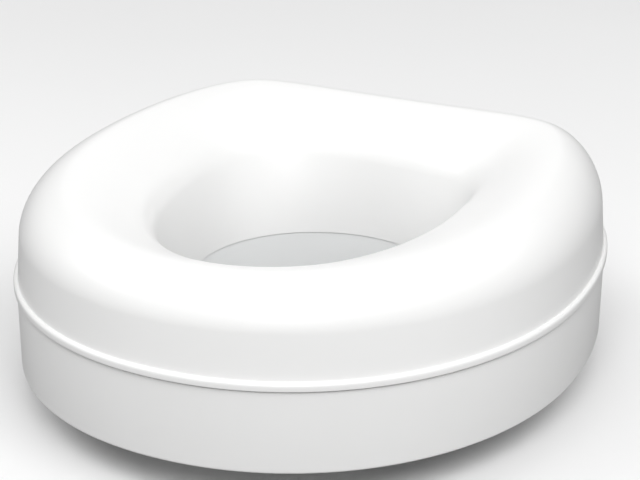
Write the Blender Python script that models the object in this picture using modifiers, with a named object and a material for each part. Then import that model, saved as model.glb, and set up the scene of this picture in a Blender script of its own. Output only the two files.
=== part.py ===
"""Raised toilet seat: a hollow two-shell seat that stands on the rim of a toilet bowl.

The seat shell carries the moulded seat, a bead round its lower edge and a collar inside the opening. The
base shell is the skirt and the floor under it, and its tongue rises inside the seat's wall. A splash guard
hangs through the floor, under the collar, and its lower edge reaches into the bowl. Self-tapping screws
come up through wells in the base into bosses under the seat. Four rubber pads, pegged into the floor,
stand on the bowl's rim.

Metres, +Z up, the front towards -Y. The origin is below the middle of the outline, level with the guard's
lower edge. The shells and the guard are lofts between unlike ovals: rings of points at the same stations
round the seat, closed into one skin.
"""

import math

import bmesh
import bpy
import numpy as np
from mathutils import Matrix, Vector

# ---- Overall sizes
WIDTH = 0.386
FLOOR_Z = 0.027  # the base's underside, above the guard's lower edge
BEAD_TOP_Z = FLOOR_Z + 0.061
CREST_Z = FLOOR_Z + 0.1218  # the seat's highest ring, halfway along
REAR_RISE = 0.0066  # the crest climbs this much to the rear and falls as much to the front
GAP = 0.0003  # between pieces that touch

# ---- The outline at the bead: half an oval in front, and a squared half behind whose sides draw in
FRONT_REACH = 0.2149
REAR_REACH = 0.1811
FRONT_POWER = 2.06
REAR_POWER = 6.8
REAR_TAPER = 0.248
REAR_WAIST = 0.0038  # how far the rear edge hollows in its middle
WAIST_REACH = 0.1895  # from the middle to where the hollow fades out, on either side

# ---- The opening: its mouth, where the seat turns down, and its throat, at the collar's lower edge
MOUTH_Z = FLOOR_Z + 0.100
MOUTH = dict(half_width=0.097, front=0.147, rear=0.092, front_power=2.0, rear_power=3.6)
THROAT_Z = FLOOR_Z + 0.0363
THROAT = dict(half_width=0.087, front=0.141, rear=0.0845, front_power=1.9, rear_power=2.0)
OPENING_BACK = 0.010  # how far the opening's widest line stands behind the bead's

# ---- The seat shell
SEAT_WALL = 0.003
BEAD_HEIGHT = 0.0052
BEAD_ROUND = 0.0016
BEAD_DROP = 0.0024  # how far down the bead's side its rounding reaches
WALL_INSET = 0.003  # the wall's foot, measured in from the bead's edge
WALL_LEAN = 0.002
SHOULDER_Z = BEAD_TOP_Z + 0.029  # where the wall starts to round over
CREST_INSET = 0.036
DISH_BEND = 2.0  # the dish starts down as a curve and goes on nearly straight, the sooner the higher this is
MOUTH_ROUND = 0.010  # from the mouth's corner to where its rounding starts, along each side

# ---- The base shell
REVEAL = 0.0016  # the shadow line between the bead and the skirt
SKIRT_INSET = 0.002
SKIRT_LEAN = 0.0007
SKIRT_ROUND = 0.0016
BASE_WALL = 0.003
FLOOR_THICK = 0.003
TONGUE_THICK = 0.002
TONGUE_RISE = 0.010
TONGUE_LEAN = 0.0016
FLOOR_EDGE = 0.005  # from the throat out to the floor's inner edge

# ---- The splash guard, measured out from the throat
GUARD_WALL = 0.0025
GUARD_FOOT = 0.002
GUARD_HEAD = 0.0008
GUARD_TOP_Z = THROAT_Z - GAP
GUARD_FLANGE = 0.016
GUARD_ROUND = 0.0006

# ---- Wells, bosses, webs and ribs
SCREW_STATIONS = (4, 14, 20, 29)  # on the +X side, and mirrored
JOINT_Z = FLOOR_Z + 0.048  # where a boss meets a well
WELL_R = 0.0075
WELL_BORE_R = 0.0052
LEDGE = 0.004
SCREW_HOLE_R = 0.0024
PILOT_DEPTH = 0.020
BOSS_R = 0.0055
DRAFT = 0.001  # a boss and a well grow this much in radius to their roots
WEB_THICK = 0.002
WEB_FOOT_Z = BEAD_TOP_Z + 0.012  # the web's lower edge, at the outer wall
TONGUE_CLEAR = 0.012  # how far in from the bead's edge the web stays that high
COLLAR_CLEAR = 0.012  # how far above the collar's lower edge the web ends
RIB_HEIGHT = 0.018
RIB_CLEAR = 0.0012  # between a rib and the guard's flange
OVERRUN = 0.002  # a cutter passes the wall that it cuts

# ---- Screws
SCREW_LENGTH = 0.020
SCREW_R = 0.002
CORE_R = 0.0014
THREAD_PITCH = 0.0024
THREAD_RISE = 0.001  # from a thread's root up to its edge
HEAD_R = 0.0042
HEAD_HEIGHT = 0.003
HEAD_EDGE = 0.0009  # the height of the slope round the head's face
HEAD_FACE_R = 0.003
RECESS_WIDTH = 0.0011
RECESS_LENGTH = 0.0046
RECESS_DEPTH = 0.0018

# ---- Pads
PAD_STATIONS = {"front": 9, "rear": 24}  # on the +X side, and mirrored
PAD_LENGTH = 0.046
PAD_WIDTH = 0.018
PAD_PROUD = 0.002
PAD_RECESS = 0.001
PAD_EDGE = 0.0007
PEG_SPACING = 0.024
PEG_R = 0.0022
BARB_R = 0.0036
BARB_HEIGHT = 0.003
BARB_TIP_R = 0.0013

# ---- Drain holes in the floor
DRAIN_STATIONS = (0, 17.5, -17.5, 32)
DRAIN_R = 0.003
DRAIN_INSET = 0.018

# ---- Mesh
STATIONS = 64
DOME_RINGS = 6  # rings up to the crest, and as many down to the mouth
OUTLINE_POINTS = 2880
HALVINGS = 24
ROUND_SIDES = 20
SMALL_SIDES = 12
SMOOTH_BELOW = math.radians(35)
HUB = Vector((0.0, -0.004))  # the stations are rays from here


# ---------------------------------------------------------------- outlines, seen from above


def oval(half_width, front, rear, front_power, rear_power):
    """Two half superellipses on a common widest line, from the front's middle by way of the +X side."""
    turn = np.linspace(0, 2 * math.pi, OUTLINE_POINTS, endpoint=False)
    across, along = np.sin(turn), -np.cos(turn)
    behind = along > 0
    power = np.where(behind, rear_power, front_power)
    reach = (np.abs(across) ** power + np.abs(along) ** power) ** (-1 / power)
    length = np.where(behind, rear, front)
    return np.stack([half_width * across * reach, length * along * reach], 1)


def bead_outline():
    """The bead's edge: an oval whose rear is drawn in, and hollowed a little in its middle."""
    x, y = oval(WIDTH / 2, FRONT_REACH, REAR_REACH, FRONT_POWER, REAR_POWER).T
    back = np.clip(y / REAR_REACH, 0, 1)
    x = x * (1 - REAR_TAPER * back**2)
    middle = np.cos(np.clip(x / WAIST_REACH, -1, 1) * math.pi / 2) ** 2
    return np.stack([x, y - REAR_WAIST * middle * back], 1)


class Outline:
    """A closed outline read as radii from the hub, at any distance in from it (or out, when negative)."""

    def __init__(self, points):
        self.points = points
        heading, radius = polar(points)
        self.heading = np.append(heading, heading[0] + 2 * math.pi)
        self.radius = np.append(radius, radius[0])

    def at(self, headings, inset=0.0):
        first = self.heading[0]
        edge = np.interp((headings - first) % (2 * math.pi) + first, self.heading, self.radius)
        if inset == 0:
            return edge
        # The distance lies on a stretch of each ray, inside the edge or outside it, which is halved each time.
        ray = np.stack([np.cos(headings), np.sin(headings)], 1)
        low, high = (0 * edge, edge) if inset > 0 else (edge, edge - 3 * inset)
        for _ in range(HALVINGS):
            middle = (low + high) / 2
            spots = np.array(HUB) + ray * middle[:, None]
            away = np.sqrt(((spots[:, None] - self.points[None]) ** 2).sum(2).min(1))
            inside = away >= inset if inset > 0 else away < -inset
            low, high = np.where(inside, middle, low), np.where(inside, high, middle)
        return (low + high) / 2


def polar(points):
    arm = points - np.array(HUB)
    return np.unwrap(np.arctan2(arm[:, 1], arm[:, 0])), np.hypot(arm[:, 0], arm[:, 1])


def station_headings(points):
    """Headings spread evenly over half the outline's length and turning together, then mirrored."""
    half = points[: OUTLINE_POINTS // 2 + 1]
    ahead = np.diff(half, axis=0)
    length = np.hypot(ahead[:, 0], ahead[:, 1])
    turning = np.abs(np.gradient(np.unwrap(np.arctan2(ahead[:, 1], ahead[:, 0]))))
    measure = np.append(0, np.cumsum(length / length.sum() + turning / turning.sum()))
    heading, _ = polar(half)
    right = np.interp(np.linspace(0, measure[-1], STATIONS // 2 + 1), measure, heading)
    return np.append(right, math.pi - right[-2:0:-1])


OUTLINE = bead_outline()
WIDEST_Y = -(OUTLINE[:, 1].max() + OUTLINE[:, 1].min()) / 2  # which centres the outline on the origin
HALF_LENGTH = FRONT_REACH - WIDEST_Y
BEAD = Outline(OUTLINE + np.array([0, WIDEST_Y]))
MOUTH_EDGE = Outline(oval(**MOUTH) + np.array([0, WIDEST_Y + OPENING_BACK]))
THROAT_EDGE = Outline(oval(**THROAT) + np.array([0, WIDEST_Y + OPENING_BACK]))
HEADINGS = station_headings(BEAD.points)


def place(radius, z, heading):
    return Vector((HUB.x + radius * math.cos(heading), HUB.y + radius * math.sin(heading), z))


def heading_at(station):
    """The heading at a station number, which may fall between two stations or be negative."""
    turns = np.append(HEADINGS, HEADINGS[0] + 2 * math.pi)
    return np.interp(station % STATIONS, np.arange(STATIONS + 1), turns)


def radius_at(outline, station, inset):
    return float(outline.at(np.array([heading_at(station)]), inset)[0])


def spot(station, inset, z=0.0):
    """A point this far in from the bead's edge, on a station's ray."""
    return place(radius_at(BEAD, station, inset), z, heading_at(station))


def mirrored(stations):
    return [signed for station in stations for signed in (station, -station)]


# ---------------------------------------------------------------- sections, as rings of (radius, height)


def ring(outline, inset, z):
    return outline.at(HEADINGS, inset), np.full(STATIONS, z)


def crest_height(radius, headings):
    """The crest rises from the front to the rear."""
    return CREST_Z + REAR_RISE * (HUB.y + radius * np.sin(headings)) / HALF_LENGTH


def seat_curve(headings):
    """The seat's upper surface, from the wall's foot over the crest to the collar's lower edge."""
    level = np.ones(len(headings))
    foot = BEAD.at(headings, WALL_INSET)
    shoulder = BEAD.at(headings, WALL_INSET + WALL_LEAN)
    crest = BEAD.at(headings, CREST_INSET)
    mouth = MOUTH_EDGE.at(headings)
    throat = THROAT_EDGE.at(headings)
    top = crest_height(crest, headings)
    foot_z = BEAD_TOP_Z + WALL_INSET / 2
    lean = (shoulder - foot) / (SHOULDER_Z - foot_z)
    rings = [(foot, foot_z * level)]
    for turn in np.linspace(0, math.pi / 2, DOME_RINGS):
        climb = (top - SHOULDER_Z) * math.sin(turn)
        rings.append((crest + (shoulder + lean * climb - crest) * math.cos(turn), SHOULDER_Z + climb))
    last = 1 - MOUTH_ROUND / (crest - mouth)
    for step in np.linspace(0, 1, DOME_RINGS)[1:]:
        run = last * step
        fall = (np.hypot(1, DISH_BEND * run) - 1) / (math.hypot(1, DISH_BEND) - 1)
        rings.append((crest + (mouth - crest) * run, top + (MOUTH_Z - top) * fall))
    before = rings[-1]
    share = MOUTH_ROUND / (MOUTH_Z - THROAT_Z)
    after = (mouth + (throat - mouth) * share, (MOUTH_Z - MOUTH_ROUND) * level)
    for part in (1 / 3, 2 / 3, 1):
        rings.append(rounded(before, (mouth, MOUTH_Z * level), after, part))
    rings.append((throat, THROAT_Z * level))
    return rings


def rounded(before, corner, after, part):
    """A ring part of the way round a corner, on a curve that meets both of its sides."""
    weights = ((1 - part) ** 2, 2 * part * (1 - part), part**2)
    stacked = zip(before, corner, after)
    return tuple(sum(w * value for w, value in zip(weights, values)) for values in stacked)


def beneath(rings, depth):
    """The rings moved down through the wall, square to the section."""
    radius = np.array([r for r, _ in rings])
    height = np.array([z for _, z in rings])
    run, climb = np.diff(radius, axis=0), np.diff(height, axis=0)
    size = np.hypot(run, climb)
    run, climb = (np.concatenate([a[:1], a[1:] + a[:-1], a[-1:]]) for a in (run / size, climb / size))
    size = np.hypot(run, climb)
    return list(zip(radius - depth * climb / size, height + depth * run / size))


def seat_section():
    lower_z = BEAD_TOP_Z - BEAD_HEIGHT
    curve = seat_curve(HEADINGS)
    lining = beneath(curve, SEAT_WALL)
    lining[0] = ring(BEAD, WALL_INSET + SEAT_WALL, BEAD_TOP_Z)
    lining[-1] = ring(THROAT_EDGE, -SEAT_WALL, THROAT_Z)
    return [
        ring(BEAD, WALL_INSET + SEAT_WALL, lower_z),
        ring(BEAD, BEAD_ROUND / 4, lower_z),
        ring(BEAD, 0, lower_z + BEAD_ROUND / 4),
        ring(BEAD, 0, BEAD_TOP_Z - BEAD_DROP),
        ring(BEAD, BEAD_ROUND / 3, BEAD_TOP_Z - BEAD_DROP / 3),
        ring(BEAD, BEAD_ROUND, BEAD_TOP_Z),
        *curve,
        *lining[::-1],
    ]


def base_section():
    foot = SKIRT_INSET + SKIRT_LEAN
    shelf_z = BEAD_TOP_Z - BEAD_HEIGHT - REVEAL
    tongue = WALL_INSET + SEAT_WALL + GAP
    tongue_z = BEAD_TOP_Z + TONGUE_RISE
    return [
        ring(BEAD, foot + SKIRT_ROUND, FLOOR_Z),
        ring(BEAD, foot + SKIRT_ROUND / 3, FLOOR_Z + SKIRT_ROUND / 3),
        ring(BEAD, foot, FLOOR_Z + SKIRT_ROUND),
        ring(BEAD, SKIRT_INSET, shelf_z),
        ring(BEAD, tongue, shelf_z),
        ring(BEAD, tongue + TONGUE_LEAN, tongue_z - TONGUE_THICK / 3),
        ring(BEAD, tongue + TONGUE_LEAN + TONGUE_THICK / 3, tongue_z),
        ring(BEAD, tongue + TONGUE_LEAN + TONGUE_THICK, tongue_z),
        ring(BEAD, tongue + TONGUE_THICK, shelf_z - BASE_WALL / 2),
        ring(BEAD, SKIRT_INSET + BASE_WALL, shelf_z - 2 * BASE_WALL),
        ring(BEAD, foot + BASE_WALL, FLOOR_Z + 2 * FLOOR_THICK),
        ring(BEAD, foot + 2 * BASE_WALL, FLOOR_Z + FLOOR_THICK),
        ring(THROAT_EDGE, -FLOOR_EDGE, FLOOR_Z + FLOOR_THICK),
        ring(THROAT_EDGE, -FLOOR_EDGE, FLOOR_Z),
    ]


def guard_section():
    def inner(z):
        return ring(THROAT_EDGE, -GUARD_FOOT - (GUARD_HEAD - GUARD_FOOT) * z / GUARD_TOP_Z, z)

    def outer(z):
        radius, height = inner(z)
        return radius + GUARD_WALL, height

    flange_z = FLOOR_Z + FLOOR_THICK + GAP
    flange_top_z = flange_z + GUARD_WALL
    return [
        inner(GUARD_ROUND),
        (inner(0)[0] + GUARD_ROUND, inner(0)[1]),
        (outer(0)[0] - GUARD_ROUND, outer(0)[1]),
        outer(GUARD_ROUND),
        outer(flange_z),
        ring(THROAT_EDGE, -GUARD_FLANGE, flange_z),
        ring(THROAT_EDGE, -GUARD_FLANGE, flange_top_z),
        outer(flange_top_z),
        outer(GUARD_TOP_Z),
        inner(GUARD_TOP_Z),
    ]


# ---------------------------------------------------------------- building


def mesh_object(name, shape, collection):
    mesh = bpy.data.meshes.new(name)
    shape.to_mesh(mesh)
    shape.free()
    thing = bpy.data.objects.new(name, mesh)
    collection.objects.link(thing)
    return thing


def closed_loft(name, rings, collection):
    """One closed skin through rings that go round the seat, where the last ring meets the first."""
    shape = bmesh.new()
    grid = []
    for radius, height in rings:
        grid.append([shape.verts.new(place(r, z, a)) for r, z, a in zip(radius, height, HEADINGS)])
    for near, far in zip(grid, grid[1:] + grid[:1]):
        for i in range(STATIONS):
            j = (i + 1) % STATIONS
            shape.faces.new((near[i], near[j], far[j], far[i]))
    bmesh.ops.recalc_face_normals(shape, faces=shape.faces)
    return mesh_object(name, shape, collection)


def cylinders(name, spots, low, high, low_radius, high_radius, sides, collection):
    """Upright cylinders or cones, one at each spot. high is one height for all, or a list of one for each."""
    shape = bmesh.new()
    tops = high if isinstance(high, list) else [high] * len(spots)
    for centre, top in zip(spots, tops):
        bmesh.ops.create_cone(
            shape,
            cap_ends=True,
            segments=sides,
            radius1=low_radius,
            radius2=high_radius,
            depth=top - low,
            matrix=Matrix.Translation((centre.x, centre.y, (low + top) / 2)),
        )
    return mesh_object(name, shape, collection)


def plates(name, outlines, thickness, collection):
    """Flat plates of one thickness, each made from the outline of its middle plane."""
    shape = bmesh.new()
    for outline in outlines:
        shape.faces.new([shape.verts.new(corner) for corner in outline])
    thing = mesh_object(name, shape, collection)
    solid = thing.modifiers.new("thickness", "SOLIDIFY")
    solid.thickness = thickness
    solid.offset = 0
    return thing


def turned(name, profile, sides, collection):
    """A profile of (radius, height), from its top down its outer side, turned round the object's Z axis."""
    shape = bmesh.new()
    line = [shape.verts.new((radius, 0, height)) for radius, height in profile]
    for start, end in zip(line, line[1:]):
        shape.edges.new((start, end))
    thing = mesh_object(name, shape, collection)
    turn = thing.modifiers.new("turn", "SCREW")
    turn.steps = sides
    turn.render_steps = sides
    turn.use_merge_vertices = True
    turn.merge_threshold = 0.00001
    return thing


def combine(target, tool, operation):
    modifier = target.modifiers.new(tool.name, "BOOLEAN")
    modifier.operation = operation
    modifier.solver = "EXACT"
    modifier.object = tool


# ---------------------------------------------------------------- the seat shell


def web_outline(station):
    """A web's outline: along the middle of the seat's wall to the collar, then back under it."""
    heading = heading_at(station)
    curve = beneath(seat_curve(np.array([heading])), SEAT_WALL / 2)
    edge = [place(float(radius[0]), float(height[0]), heading) for radius, height in curve[1:]]
    foot = edge.pop()
    low_z = THROAT_Z + COLLAR_CLEAR
    collar_end = edge[-1].lerp(foot, (edge[-1].z - low_z) / (edge[-1].z - foot.z))
    return [
        spot(station, WALL_INSET + SEAT_WALL / 2, WEB_FOOT_Z),
        *edge,
        collar_end,
        spot(station, CREST_INSET, low_z),
        spot(station, TONGUE_CLEAR, WEB_FOOT_Z),
    ]


def seat_shell(parts, tools):
    shell = closed_loft("seat_shell", seat_section(), parts)
    stations = mirrored(SCREW_STATIONS)
    spots = [spot(station, CREST_INSET) for station in stations]
    tops = []
    for station in stations:
        radius = radius_at(BEAD, station, CREST_INSET)
        tops.append(float(crest_height(radius, heading_at(station))) - SEAT_WALL / 2)
    webs = plates("seat_webs", [web_outline(station) for station in stations], WEB_THICK, tools)
    bosses = cylinders("bosses", spots, JOINT_Z + GAP, tops, BOSS_R, BOSS_R + DRAFT, ROUND_SIDES, tools)
    low, high = JOINT_Z - OVERRUN, JOINT_Z + PILOT_DEPTH
    pilots = cylinders("pilot_holes", spots, low, high, SCREW_HOLE_R, SCREW_HOLE_R, SMALL_SIDES, tools)
    combine(shell, webs, "UNION")
    combine(shell, bosses, "UNION")
    combine(shell, pilots, "DIFFERENCE")
    return shell


# ---------------------------------------------------------------- the base shell


def rib_outline(station):
    """A rib's outline: on the floor, from the guard's flange past the well to the skirt's wall."""
    heading = heading_at(station)
    flange = radius_at(THROAT_EDGE, station, -GUARD_FLANGE) + RIB_CLEAR
    wall = radius_at(BEAD, station, SKIRT_INSET + SKIRT_LEAN + BASE_WALL / 2)
    low_z = FLOOR_Z + FLOOR_THICK / 2
    top_z = FLOOR_Z + FLOOR_THICK + RIB_HEIGHT
    return [
        place(flange, low_z, heading),
        place(wall, low_z, heading),
        place(wall, top_z, heading),
        place(flange + RIB_HEIGHT / 2, top_z, heading),
        place(flange, FLOOR_Z + 2 * FLOOR_THICK, heading),
    ]


def pad_frame(station):
    """A pad's place and turn: its length lies along the rim."""
    along = spot(station + 1, CREST_INSET) - spot(station - 1, CREST_INSET)
    turn = Matrix.Rotation(math.atan2(along.y, along.x), 4, "Z")
    return Matrix.Translation(spot(station, CREST_INSET)) @ turn


def stadium(length, width, z):
    """A round-ended oblong along X, at height z."""
    corners = []
    for end in (1, -1):
        middle = Vector((end * (length - width) / 2, 0, z))
        for angle in np.linspace(-math.pi / 2, math.pi / 2, 7):
            corners.append(middle + end * width / 2 * Vector((math.cos(angle), math.sin(angle), 0)))
    return corners


def peg_spots():
    """Where each pad's pegs go through the floor."""
    ends = (Vector((PEG_SPACING / 2, 0, 0)), Vector((-PEG_SPACING / 2, 0, 0)))
    return [pad_frame(station) @ end for station in mirrored(PAD_STATIONS.values()) for end in ends]


def base_shell(parts, tools):
    shell = closed_loft("base_shell", base_section(), parts)
    stations = mirrored(SCREW_STATIONS)
    spots = [spot(station, CREST_INSET) for station in stations]
    ribs = plates("base_ribs", [rib_outline(station) for station in stations], WEB_THICK, tools)
    low = FLOOR_Z + FLOOR_THICK / 2
    wells = cylinders("wells", spots, low, JOINT_Z, WELL_R + DRAFT, WELL_R, ROUND_SIDES, tools)
    low, high = FLOOR_Z - OVERRUN, JOINT_Z - LEDGE
    bores = cylinders("well_bores", spots, low, high, WELL_BORE_R, WELL_BORE_R, ROUND_SIDES, tools)
    low, high = high - OVERRUN, JOINT_Z + OVERRUN
    holes = cylinders("screw_holes", spots, low, high, SCREW_HOLE_R, SCREW_HOLE_R, SMALL_SIDES, tools)
    cutter = stadium(PAD_LENGTH + 2 * GAP, PAD_WIDTH + 2 * GAP, FLOOR_Z)
    outlines = []
    for station in mirrored(PAD_STATIONS.values()):
        outlines.append([pad_frame(station) @ corner for corner in cutter])
    recesses = plates("pad_recesses", outlines, 2 * PAD_RECESS, tools)
    low, high = FLOOR_Z - OVERRUN, FLOOR_Z + FLOOR_THICK + OVERRUN
    radius = PEG_R + GAP
    pegs = cylinders("peg_holes", peg_spots(), low, high, radius, radius, SMALL_SIDES, tools)
    spots = [spot(station, DRAIN_INSET) for station in DRAIN_STATIONS]
    drains = cylinders("drain_holes", spots, low, high, DRAIN_R, DRAIN_R, SMALL_SIDES, tools)
    combine(shell, ribs, "UNION")
    combine(shell, wells, "UNION")
    for cutter in (bores, holes, recesses, pegs, drains):
        combine(shell, cutter, "DIFFERENCE")
    return shell


# ---------------------------------------------------------------- screws and pads


def screw_profile():
    """A pan-head screw standing on its head: its tip, thread and head. Zero is where the head seats."""
    profile = [(0, SCREW_LENGTH)]
    root_z = SCREW_LENGTH - THREAD_PITCH
    while root_z > LEDGE:
        profile.append((CORE_R, root_z + THREAD_RISE))
        profile.append((SCREW_R, root_z))
        root_z -= THREAD_PITCH
    profile += [
        (CORE_R, root_z),
        (CORE_R, 0),
        (HEAD_R, 0),
        (HEAD_R, HEAD_EDGE - HEAD_HEIGHT),
        (HEAD_FACE_R, -HEAD_HEIGHT),
        (0, -HEAD_HEIGHT),
    ]
    return profile


def cross_outline():
    """The outline of the cross recess, in one plane."""
    arm, half = RECESS_LENGTH / 2, RECESS_WIDTH / 2
    corners = []
    for quarter in range(4):
        turn = Matrix.Rotation(quarter * math.pi / 2, 3, "Z")
        for x, y in ((arm, -half), (arm, half), (half, half)):
            corners.append(turn @ Vector((x, y, -HEAD_HEIGHT)))
    return corners


def screws(parts, tools):
    """One screw in each well, head down. They share two meshes: the turned body and the cross recess."""
    body = turned("screw", screw_profile(), SMALL_SIDES, parts)
    cross = plates("cross_recess", [cross_outline()], 2 * RECESS_DEPTH, tools)
    made = []
    for side, sign in (("right", 1), ("left", -1)):
        for number, station in enumerate(SCREW_STATIONS, 1):
            screw, recess = body.copy(), cross.copy()
            screw.name = f"screw_{side}_{number}"
            parts.objects.link(screw)
            tools.objects.link(recess)
            for thing in (screw, recess):
                thing.location = spot(sign * station, CREST_INSET, JOINT_Z - LEDGE - GAP)
            combine(screw, recess, "DIFFERENCE")
            made.append(screw)
    bpy.data.objects.remove(body)
    bpy.data.objects.remove(cross)
    return made


def pads(parts, tools):
    """Rubber pads, each with two barbed pegs pushed up through the floor."""
    low, high = -PAD_PROUD, PAD_RECESS - GAP
    inner = FLOOR_THICK + GAP
    peg_profile = [(0, inner + BARB_HEIGHT), (BARB_TIP_R, inner + BARB_HEIGHT), (BARB_R, inner)]
    peg_profile += [(PEG_R, inner), (PEG_R, 0), (0, 0)]
    peg = turned("peg", peg_profile, SMALL_SIDES, tools)
    made = []
    for side, sign in (("right", 1), ("left", -1)):
        for end, station in PAD_STATIONS.items():
            frame = Matrix.Translation((0, 0, FLOOR_Z)) @ pad_frame(sign * station)
            outline = stadium(PAD_LENGTH, PAD_WIDTH, (low + high) / 2)
            pad = plates(f"pad_{end}_{side}", [outline], high - low, parts)
            pad.matrix_world = frame
            edge = pad.modifiers.new("soft edge", "BEVEL")
            edge.width = PAD_EDGE
            edge.segments = 2
            edge.angle_limit = math.radians(60)
            for x in (-PEG_SPACING / 2, PEG_SPACING / 2):
                copy = peg.copy()
                copy.matrix_world = frame @ Matrix.Translation((x, 0, 0))
                tools.objects.link(copy)
                combine(pad, copy, "UNION")
            made.append(pad)
    bpy.data.objects.remove(peg)
    return made


# ---------------------------------------------------------------- materials and scene


def material(name, colour, roughness, metallic=0.0):
    made = bpy.data.materials.new(name)
    made.use_nodes = True
    shader = made.node_tree.nodes["Principled BSDF"]
    shader.inputs["Base Color"].default_value = (*colour, 1)
    shader.inputs["Roughness"].default_value = roughness
    shader.inputs["Metallic"].default_value = metallic
    return made


def finish(things, look):
    for thing in things:
        thing.data.materials.clear()
        thing.data.materials.append(look)
        if thing.data.polygons:
            thing.data.shade_smooth()
            thing.data.set_sharp_from_angle(angle=SMOOTH_BELOW)


def main():
    for old in list(bpy.data.objects):
        bpy.data.objects.remove(old)
    parts = bpy.data.collections.new("raised_toilet_seat")
    tools = bpy.data.collections.new("cutters")
    for collection in (parts, tools):
        bpy.context.scene.collection.children.link(collection)
    finish([seat_shell(parts, tools)], material("seat_plastic", (0.90, 0.90, 0.89), 0.30))
    finish([base_shell(parts, tools)], material("base_plastic", (0.88, 0.88, 0.87), 0.34))
    guard = closed_loft("splash_guard", guard_section(), parts)
    finish([guard], material("guard_plastic", (0.84, 0.85, 0.85), 0.32))
    finish(pads(parts, tools), material("pad_rubber", (0.42, 0.43, 0.44), 0.75))
    finish(screws(parts, tools), material("screw_steel", (0.60, 0.60, 0.60), 0.35, 1.0))
    whole = bpy.data.objects.new("whole_seat", None)
    for thing in parts.objects:
        thing.parent = whole
    parts.objects.link(whole)
    tools.hide_render = True
    for tool in tools.objects:
        tool.hide_render = True
        tool.display_type = "WIRE"


main()
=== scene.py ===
"""Raised toilet seat: the fine surfaces, materials, light and camera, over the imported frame.

Metres, +Z up, the front towards -Y, as in the frame. The two shells and the splash guard are lofted on the
frame's own ovals with many more points, and the pads and screws get their tread and thread.
"""

import math

import bmesh
import bpy
import numpy as np
from mathutils import Matrix, Vector


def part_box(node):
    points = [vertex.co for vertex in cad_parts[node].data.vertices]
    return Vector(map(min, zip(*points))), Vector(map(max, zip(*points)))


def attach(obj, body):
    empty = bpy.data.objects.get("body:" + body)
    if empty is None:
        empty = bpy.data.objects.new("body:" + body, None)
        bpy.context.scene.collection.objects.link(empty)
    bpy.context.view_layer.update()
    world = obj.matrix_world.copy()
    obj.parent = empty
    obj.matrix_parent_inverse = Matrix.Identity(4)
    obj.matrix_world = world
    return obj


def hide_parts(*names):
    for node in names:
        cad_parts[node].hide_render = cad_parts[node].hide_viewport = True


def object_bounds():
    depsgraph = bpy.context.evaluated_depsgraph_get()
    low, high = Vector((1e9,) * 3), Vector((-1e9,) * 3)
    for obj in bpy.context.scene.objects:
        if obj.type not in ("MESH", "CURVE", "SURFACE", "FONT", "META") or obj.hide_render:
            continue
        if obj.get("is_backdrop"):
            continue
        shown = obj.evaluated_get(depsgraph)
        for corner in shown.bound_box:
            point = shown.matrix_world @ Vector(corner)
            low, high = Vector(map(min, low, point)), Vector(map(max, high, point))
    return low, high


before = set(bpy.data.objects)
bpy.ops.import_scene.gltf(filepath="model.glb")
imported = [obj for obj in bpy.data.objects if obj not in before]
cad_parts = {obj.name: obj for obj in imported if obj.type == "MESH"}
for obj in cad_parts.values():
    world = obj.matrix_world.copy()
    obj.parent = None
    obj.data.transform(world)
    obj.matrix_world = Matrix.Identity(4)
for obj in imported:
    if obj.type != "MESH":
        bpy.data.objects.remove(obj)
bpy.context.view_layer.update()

# ---- Heights and widths that the frame gives
GUARD_LOW, GUARD_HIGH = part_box("splash_guard")
BASE_LOW, BASE_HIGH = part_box("base_shell")
SEAT_LOW, SEAT_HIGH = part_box("seat_shell")
WIDTH = SEAT_HIGH.x - SEAT_LOW.x
HALF_LENGTH = (SEAT_HIGH.y - SEAT_LOW.y) / 2
FLOOR_Z = BASE_LOW.z
THROAT_Z = SEAT_LOW.z
GUARD_TOP_Z = GUARD_HIGH.z
GAP = 0.0003  # between pieces that touch

# ---- The outline at the bead: half an oval in front, and a squared half behind whose sides draw in
FRONT_REACH = 0.2149
REAR_REACH = 0.1811
FRONT_POWER = 2.06
REAR_POWER = 6.8
REAR_TAPER = 0.248
REAR_WAIST = 0.0038  # how far the rear edge hollows in its middle
WAIST_REACH = 0.1895  # from the middle to where the hollow fades out, on either side

# ---- The opening: its mouth, where the seat turns down, and its throat, at the collar's lower edge
MOUTH_Z = FLOOR_Z + 0.100
MOUTH = dict(half_width=0.097, front=0.147, rear=0.092, front_power=2.0, rear_power=3.6)
THROAT = dict(half_width=0.087, front=0.141, rear=0.0845, front_power=1.9, rear_power=2.0)
OPENING_BACK = 0.010  # how far the opening's widest line stands behind the bead's

# ---- The seat shell
REAR_RISE = 0.0066  # the crest climbs this much to the rear and falls as much to the front
CREST_Z = FLOOR_Z + 0.1218
BEAD_TOP_Z = FLOOR_Z + 0.061
BEAD_HEIGHT = 0.0052
BEAD_LOWER_ROUND = 0.0006
BEAD_UPPER_ROUND = 0.0024
SEAT_WALL = 0.003
WALL_INSET = 0.003
WALL_LEAN = 0.002
WALL_FILLET = 0.0012
BEAD_ROUND_END = 0.8 * WALL_INSET  # how far in the bead's upper rounding ends
SHOULDER_Z = BEAD_TOP_Z + 0.029
CREST_INSET = 0.036
DISH_BEND = 2.0  # the dish starts down as a curve, then goes on straight, the sooner the higher this is
MOUTH_ROUND = 0.010
COLLAR_ROUND = 0.0003

# ---- The base shell
REVEAL = 0.0012  # the shadow line between the bead and the skirt
SKIRT_EDGE = 0.0004
SKIRT_INSET = 0.002
SKIRT_LEAN = 0.0007
SKIRT_ROUND = 0.0018
BASE_WALL = 0.003
FLOOR_THICK = 0.003
FLOOR_ROUND = 0.0008
TONGUE_THICK = 0.002
TONGUE_LEAN = 0.0016
FLOOR_EDGE = 0.005  # from the throat out to the floor's inner edge

# ---- The splash guard, measured out from the throat
GUARD_WALL = 0.0025
GUARD_FOOT = 0.002
GUARD_HEAD = 0.0008
GUARD_FLANGE = 0.016
GUARD_ROUND = 0.0009
GUARD_TOP_ROUND = 0.0002  # where it meets the collar

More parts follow.
